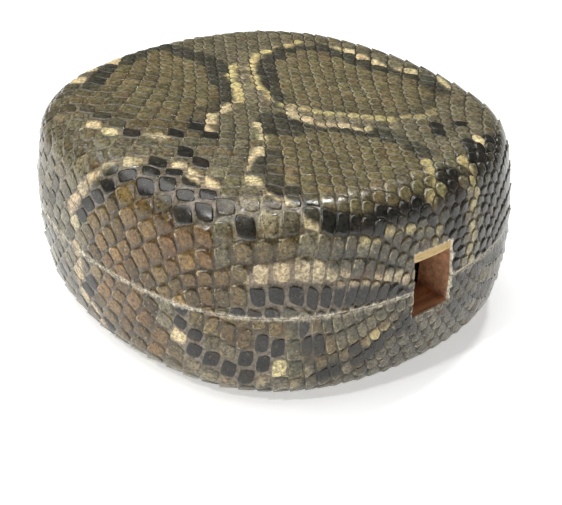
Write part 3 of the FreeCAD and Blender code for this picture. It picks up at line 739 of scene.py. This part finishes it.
def close_skin(bm, face):
    """Gives the skin its thickness, with the inner side that the frame and the air touch."""
    loop = boundary_loop(bm)
    flat_layer = bm.verts.layers.float_vector["flat"]
    tint_layer, marks_layer = bm.verts.layers.float_color["tint"], bm.verts.layers.float_color["marks"]
    raw = tuple(to_linear(ink("raw"))) + (1,)
    rings = inner_rings(np.array([v.co[:] for v in loop]), face)
    centre = [(0, 0, rings[-1][0][2])]

    def new_points(places):
        made = [bm.verts.new(p) for p in places]
        for v in made:
            v[flat_layer], v[tint_layer], v[marks_layer] = (0, 0, 1), raw, INNER_MARKS
        return made

    def bridge(outer, inner, stride):
        """Faces between two rings, where the inner one has a point for every `stride` of the outer's."""
        for k, point in enumerate(inner):
            reach = [outer[n % len(outer)] for n in range(k * stride, min((k + 1) * stride, len(outer)) + 1)]
            bm.faces.new(reach + [inner[(k + 1) % len(inner)], point])

    lip = new_points(rings[0])
    bridge(loop, lip, 1)
    last, stride = lip, INNER_STRIDE
    for places in rings[1:]:
        ring = new_points(places[::INNER_STRIDE])
        bridge(last, ring, stride)
        last, stride = ring, 1
    top = new_points(centre)[0]
    for k, point in enumerate(last):
        bm.faces.new((point, last[(k + 1) % len(last)], top))
    for v in loop:
        v[tint_layer] = raw
    bmesh.ops.recalc_face_normals(bm, faces=bm.faces)


# The bake's square shows the flat skin, and the inner side small in its upper corner.
FLAT_SPAN = 250.0 / 0.86  # millimetres of flat skin that would fill the square
FLAT_CENTRE, INNER_CENTRE = 0.44, 0.93
INNER_SCALE = 0.5  # square widths a metre


def lay_out(bm):
    """The skin's own flat layout, for its baked pictures."""
    flat_layer = bm.verts.layers.float_vector["flat"]
    layout = bm.loops.layers.uv.new("OFBake")
    for f in bm.faces:
        inner = any(v[flat_layer][2] > 0.5 for v in f.verts)
        for corner in f.loops:
            if inner:
                corner[layout].uv = [INNER_CENTRE + at * INNER_SCALE for at in corner.vert.co[:2]]
            else:
                corner[layout].uv = [FLAT_CENTRE + at / FLAT_SPAN for at in corner.vert[flat_layer][:2]]


def make_skin(name, face):
    """One skin: its scales folded over the drum, cut at the seam and the windows, and closed."""
    scales = make_scales(face)
    tint, marks = colour_scales(scales, face)
    place, normal = fold(scales["flat"], face)
    mesh = start_mesh(name, place * MM, scales["faces"])
    from_seam = SIDE_LENGTH - down_side(scales["flat"])
    height = scales["height"] * smooth(*SEAM_FLAT, from_seam)
    set_points(mesh, "relief", "FLOAT_VECTOR", normal * height[:, None] * MM)
    set_points(mesh, "tint", "FLOAT_COLOR", tint)
    set_points(mesh, "marks", "FLOAT_COLOR", marks)
    set_points(mesh, "flat", "FLOAT_VECTOR", np.column_stack([scales["flat"], np.zeros(len(place))]))
    bm = bmesh.new()
    bm.from_mesh(mesh)
    seam = (HALF_DEPTH + face * SEAM_GAP / 2) * MM
    cut(bm, (0, 0, seam), (0, 0, -face), drop=True)
    for end in ("neck", "tail"):
        cut_window(bm, face, end)
    bmesh.ops.remove_doubles(bm, verts=[v for v in bm.verts if v.is_boundary], dist=EDGE_MERGE * MM)
    close_skin(bm, face)
    relief = bm.verts.layers.float_vector["relief"]
    for v in bm.verts:
        v.co += v[relief]
    lay_out(bm)
    for f in bm.faces:
        f.smooth = True
    bm.to_mesh(mesh)
    bm.free()
    skin = bpy.data.objects.new(name, mesh)
    show(skin)
    return skin


# ---- materials ----


def new_material(name):
    material = bpy.data.materials.new(name)
    material.use_nodes = True
    tree = material.node_tree
    return material, tree, tree.nodes["Principled BSDF"]


def add(tree, kind, **values):
    """A node with its settings and input values; an input given a socket is linked."""
    node = tree.nodes.new("ShaderNode" + kind)
    for key, value in values.items():
        if hasattr(node, key):
            setattr(node, key, value)
            continue
        name = int(key[1:]) if key[0] == "i" and key[1:].isdigit() else key.replace("_", " ")
        if isinstance(value, bpy.types.NodeSocket):
            tree.links.new(value, node.inputs[name])
        else:
            node.inputs[name].default_value = value
    return node


def noise(tree, where, scale, detail=3.0, rough=0.55):
    return add(tree, "TexNoise", Vector=where, Scale=scale, Detail=detail, Roughness=rough).outputs["Fac"]


def spread_out(tree, value, low, high, to_low=0.0, to_high=1.0):
    """Maps a value between two limits on to two others, smoothly."""
    node = add(tree, "MapRange", Value=value, From_Min=low, From_Max=high, To_Min=to_low, To_Max=to_high)
    node.interpolation_type = "SMOOTHSTEP"
    return node.outputs["Result"]


def times(tree, a, b):
    return add(tree, "Math", operation="MULTIPLY", i0=a, i1=b).outputs[0]


def plus(tree, a, b):
    return add(tree, "Math", operation="ADD", i0=a, i1=b).outputs[0]


def blend_colour(tree, amount, a, b, how="MIX"):
    node = tree.nodes.new("ShaderNodeMix")
    node.data_type, node.blend_type = "RGBA", how
    for socket, value in ((node.inputs[0], amount), (node.inputs[6], a), (node.inputs[7], b)):
        if isinstance(value, bpy.types.NodeSocket):
            tree.links.new(value, socket)
        else:
            socket.default_value = value
    return node.outputs[2]


def linear(*display):
    return tuple(to_linear(np.array(display) / 255)) + (1.0,)

MOTTLE = (0.4, 1.55)  # how dark and how light the mottling makes the scales
FLECKS = (  # noise scale, detail and roughness, its limits, the most that shows, and a display colour
    (130, 2, 0.55, (0.5, 0.72), 0.35, (126, 92, 50)),
    (380, 3, 0.6, (0.5, 0.64), 0.2, (120, 117, 82)),
    (310, 3, 0.6, (0.52, 0.66), 0.3, (104, 88, 78)),
    (820, 3, 0.7, (0.53, 0.64), 0.85, (48, 44, 36)),
    # the pale layer below is painted glints: tiny painted highlights on the varnish
    (640, 3, 0.6, (0.60, 0.72), 0.7, (182, 168, 132)))
LIGHT_SPECKS = (560, 4, 0.7, (0.53, 0.62), 0.7, (128, 104, 70))  # on the light markings
VARNISH_ROUGH, SOFT_ROUGH = (0.13, 0.32), 0.08  # the second is added on the soft skin


def fleck(tree, where, colour, shows, layer):
    """One layer of flecks over a colour, where `shows` lets it."""
    scale, detail, rough, limits, most, display = layer
    amount = spread_out(tree, noise(tree, where, scale, detail, rough), *limits, 0.0, most)
    return blend_colour(tree, times(tree, amount, shows), colour, linear(*display))


def python_skin():
    """Varnished python skin: the scales' own colours, mottled and flecked, glossy on top and matt between."""
    material, tree, shader = new_material("python_skin")
    where = add(tree, "TexCoord").outputs["Object"]
    tint = add(tree, "Attribute", attribute_name="tint").outputs["Color"]
    marks = add(tree, "SeparateColor", Color=add(tree, "Attribute", attribute_name="marks").outputs["Color"])
    soft, flecked, light = marks.outputs
    mottle = spread_out(tree, noise(tree, where, 700, 5, 0.75), 0.32, 0.68, *MOTTLE)
    grey = add(tree, "CombineColor", Red=mottle, Green=mottle, Blue=mottle).outputs[0]
    colour = blend_colour(tree, 1.0, tint, grey, "MULTIPLY")
    for layer in FLECKS:
        colour = fleck(tree, where, colour, flecked, layer)
    colour = fleck(tree, where, colour, light, LIGHT_SPECKS)
    tree.links.new(colour, shader.inputs["Base Color"])
    rough = spread_out(tree, noise(tree, where, 300, 3), 0.3, 0.7, *VARNISH_ROUGH)
    tree.links.new(plus(tree, rough, times(tree, soft, SOFT_ROUGH)), shader.inputs["Roughness"])
    shader.inputs["Specular IOR Level"].default_value = 0.5
    grain = plus(tree, noise(tree, where, 1500, 3, 0.6), times(tree, noise(tree, where, 520, 3, 0.6), 1.2))
    bump = add(tree, "Bump", Height=grain, Strength=0.28, Distance=0.00012)
    tree.links.new(bump.outputs[0], shader.inputs["Normal"])
    return material


ALONG_GRAIN = 0.12  # the figure is stretched along the grain
WOOD_RING_SHADES = (0.86, 0.72)  # dark rings of the fresh outer wood and of the darker wood within, against the wood between
PORE_SHADE = 0.5
FRESH_BAND = (0.0886, 0.0902)  # distances along the drum, in metres, between which wood is fresh
FRESH_FADE = 0.0004


def timber(name, fresh, inner_tone, along="Y", fresh_above=-1.0):
    """Planed wood with its grain along one axis: fresh and pale at the drum's outside, darker within."""
    material, tree, shader = new_material(name)
    where = add(tree, "TexCoord").outputs["Object"]
    stretch = [ALONG_GRAIN if axis == along else 1 for axis in "XYZ"]
    grained = add(tree, "Mapping", Vector=where, Scale=stretch).outputs[0]
    rings = spread_out(tree, noise(tree, grained, 420, 4, 0.65), 0.3, 0.7)
    pores = spread_out(tree, noise(tree, grained, 2600, 2, 0.5), 0.56, 0.7, 0.0, 0.5)
    pale = blend_colour(tree, rings, linear(*fresh), linear(*(WOOD_RING_SHADES[0] * c for c in fresh)))
    deep = blend_colour(tree, rings, linear(*inner_tone), linear(*(WOOD_RING_SHADES[1] * c for c in inner_tone)))
    axes = add(tree, "SeparateXYZ", Vector=where)
    edge = add(tree, "Math", operation="ABSOLUTE", i0=axes.outputs[1]).outputs[0]
    outer = times(tree, spread_out(tree, edge, *FRESH_BAND),
                  spread_out(tree, axes.outputs[2], fresh_above, fresh_above + FRESH_FADE))
    colour = blend_colour(tree, outer, deep, pale)
    colour = blend_colour(tree, pores, colour, linear(*(PORE_SHADE * c for c in inner_tone)))
    tree.links.new(colour, shader.inputs["Base Color"])
    tree.links.new(spread_out(tree, rings, 0, 1, 0.5, 0.7), shader.inputs["Roughness"])
    bump = add(tree, "Bump", Height=plus(tree, rings, pores), Strength=0.3, Distance=0.0002)
    tree.links.new(bump.outputs[0], shader.inputs["Normal"])
    return material


FLOOR_GLOW = 0.50  # the white table is lit through from below, so the drum's shadow is faint


def floor_material():
    material, tree, shader = new_material("floor")
    where = add(tree, "TexCoord").outputs["Object"]
    shade = spread_out(tree, noise(tree, where, 3, 2), 0.3, 0.7, 0.0, 0.02)
    white = blend_colour(tree, shade, linear(250, 250, 250), linear(238, 240, 242))
    tree.links.new(white, shader.inputs["Base Color"])
    shader.inputs["Roughness"].default_value = 0.6
    shader.inputs["Emission Color"].default_value = (1.0, 1.0, 1.0, 1.0)
    shader.inputs["Emission Strength"].default_value = FLOOR_GLOW
    return material


# ---- pieces ----

skin_looks = python_skin()
for piece_name, node_name, face in (("front_python_skin", "front_skin", 1),
                                    ("back_python_skin", "back_skin", -1)):
    skin = make_skin(piece_name, face)
    skin.data.materials.append(skin_looks)
    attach(skin, "root")
    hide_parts(node_name)

FRAME_LOOKS = {
    "neck_block": timber("wood_neck", (250, 216, 150), (232, 178, 138), "X", 0.0497),
    "tail_block": timber("wood_tail", (246, 210, 146), (176, 124, 78), "X"),
    "left_block": timber("wood_left", (240, 206, 144), (180, 128, 80), "Y"),
    "right_block": timber("wood_right", (238, 204, 142), (174, 122, 76), "Y")}
bamboo = timber("bamboo_dowel", (232, 214, 160), (206, 184, 122), "X")
for name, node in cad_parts.items():
    if name.endswith("_skin"):
        continue
    node.data.materials.clear()
    node.data.materials.append(FRAME_LOOKS.get(name, bamboo))

# ---- floor, backdrop and light ----

FLOOR_STEPS, FLOOR_SPACING = 40, 0.2  # squares along its side, and their size
FLOOR_FLAT, FLOOR_RISE = 1.2, 0.02  # flat this far round the drum, then curving up
FLOOR_CLEARANCE = 0.0001
BACKDROP_COLOUR = (0.52, 0.52, 0.52)
BACKDROP_RADIUS, BACKDROP_HEIGHT = 3.9, 4.0
SKY_STRENGTH = 0.09
LIT_HEIGHT = 0.04  # the lamps' directions and distances start this far up the drum
LAMPS = (  # name, direction, distance, size, power
    ("ceiling", (-0.20, 0.30, 1.0), 1.5, 1.4, 17.4),
    ("left_fill", (-1.0, 0.0, 0.45), 1.6, 1.2, 1.0),
    ("window", (0.40, 0.06, 0.91), 1.3, 0.14, 5.5),
    ("left_lamp", (-0.62, -0.12, 0.77), 1.3, 0.10, 4.6))


def stage_object(name, bm, material):
    """Puts a mesh into the scene as part of the studio."""
    mesh = bpy.data.meshes.new(name)
    bm.to_mesh(mesh)
    bm.free()
    mesh.materials.append(material)
    made = bpy.data.objects.new(name, mesh)
    show(made)
    return made


def make_floor():
    """A wide plain floor under the lowest scale, with a gentle rise far behind the drum."""
    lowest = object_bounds()[0][2] - FLOOR_CLEARANCE
    bm = bmesh.new()
    across = [(k - FLOOR_STEPS / 2) * FLOOR_SPACING for k in range(FLOOR_STEPS + 1)]
    grid = [[bm.verts.new((x, y, 0.0)) for x in across] for y in across]
    for row in grid:
        for v in row:
            v.co.z = lowest + FLOOR_RISE * max(0.0, v.co.xy.length - FLOOR_FLAT) ** 2
    for near, far in zip(grid, grid[1:]):
        for x in range(FLOOR_STEPS):
            bm.faces.new((near[x], near[x + 1], far[x + 1], far[x])).smooth = True
    stage_object("floor", bm, floor_material())


def make_backdrop():
    """A pale wall round the floor, behind the low views; it lights nothing and casts no shadow."""
    material, _, shader = new_material("backdrop_card")
    shader.inputs["Base Color"].default_value = (0.0, 0.0, 0.0, 1)
    shader.inputs["Specular IOR Level"].default_value = 0.0
    shader.inputs["Emission Color"].default_value = (*BACKDROP_COLOUR, 1)
    shader.inputs["Emission Strength"].default_value = 1.0
    bm = bmesh.new()
    bmesh.ops.create_cone(bm, cap_ends=False, segments=96, radius1=BACKDROP_RADIUS,
                          radius2=BACKDROP_RADIUS, depth=2 * BACKDROP_HEIGHT)
    wall = stage_object("backdrop", bm, material)
    wall.visible_diffuse = wall.visible_glossy = wall.visible_transmission = wall.visible_shadow = False


def area_light(name, toward, distance, size, power):
    """A square light in the given direction from the drum, turned to face it."""
    data = bpy.data.lights.new(name, "AREA")
    data.size, data.energy = size, power
    light = bpy.data.objects.new(name, data)
    away_from = Vector(toward).normalized()
    light.location = away_from * distance + Vector((0, 0, LIT_HEIGHT))
    light.rotation_euler = away_from.to_track_quat("Z", "Y").to_euler()
    show(light)


def light_scene():
    """A faint even sky, the lamps, and colours shown as they are."""
    world = bpy.data.worlds.new("studio")
    world.use_nodes = True
    sky = world.node_tree.nodes["Background"]
    sky.inputs["Color"].default_value = (1.0, 1.0, 1.0, 1)
    sky.inputs["Strength"].default_value = SKY_STRENGTH
    bpy.context.scene.world = world
    for lamp in LAMPS:
        area_light(*lamp)
    bpy.context.scene.view_settings.view_transform = "Standard"


make_floor()
make_backdrop()
light_scene()
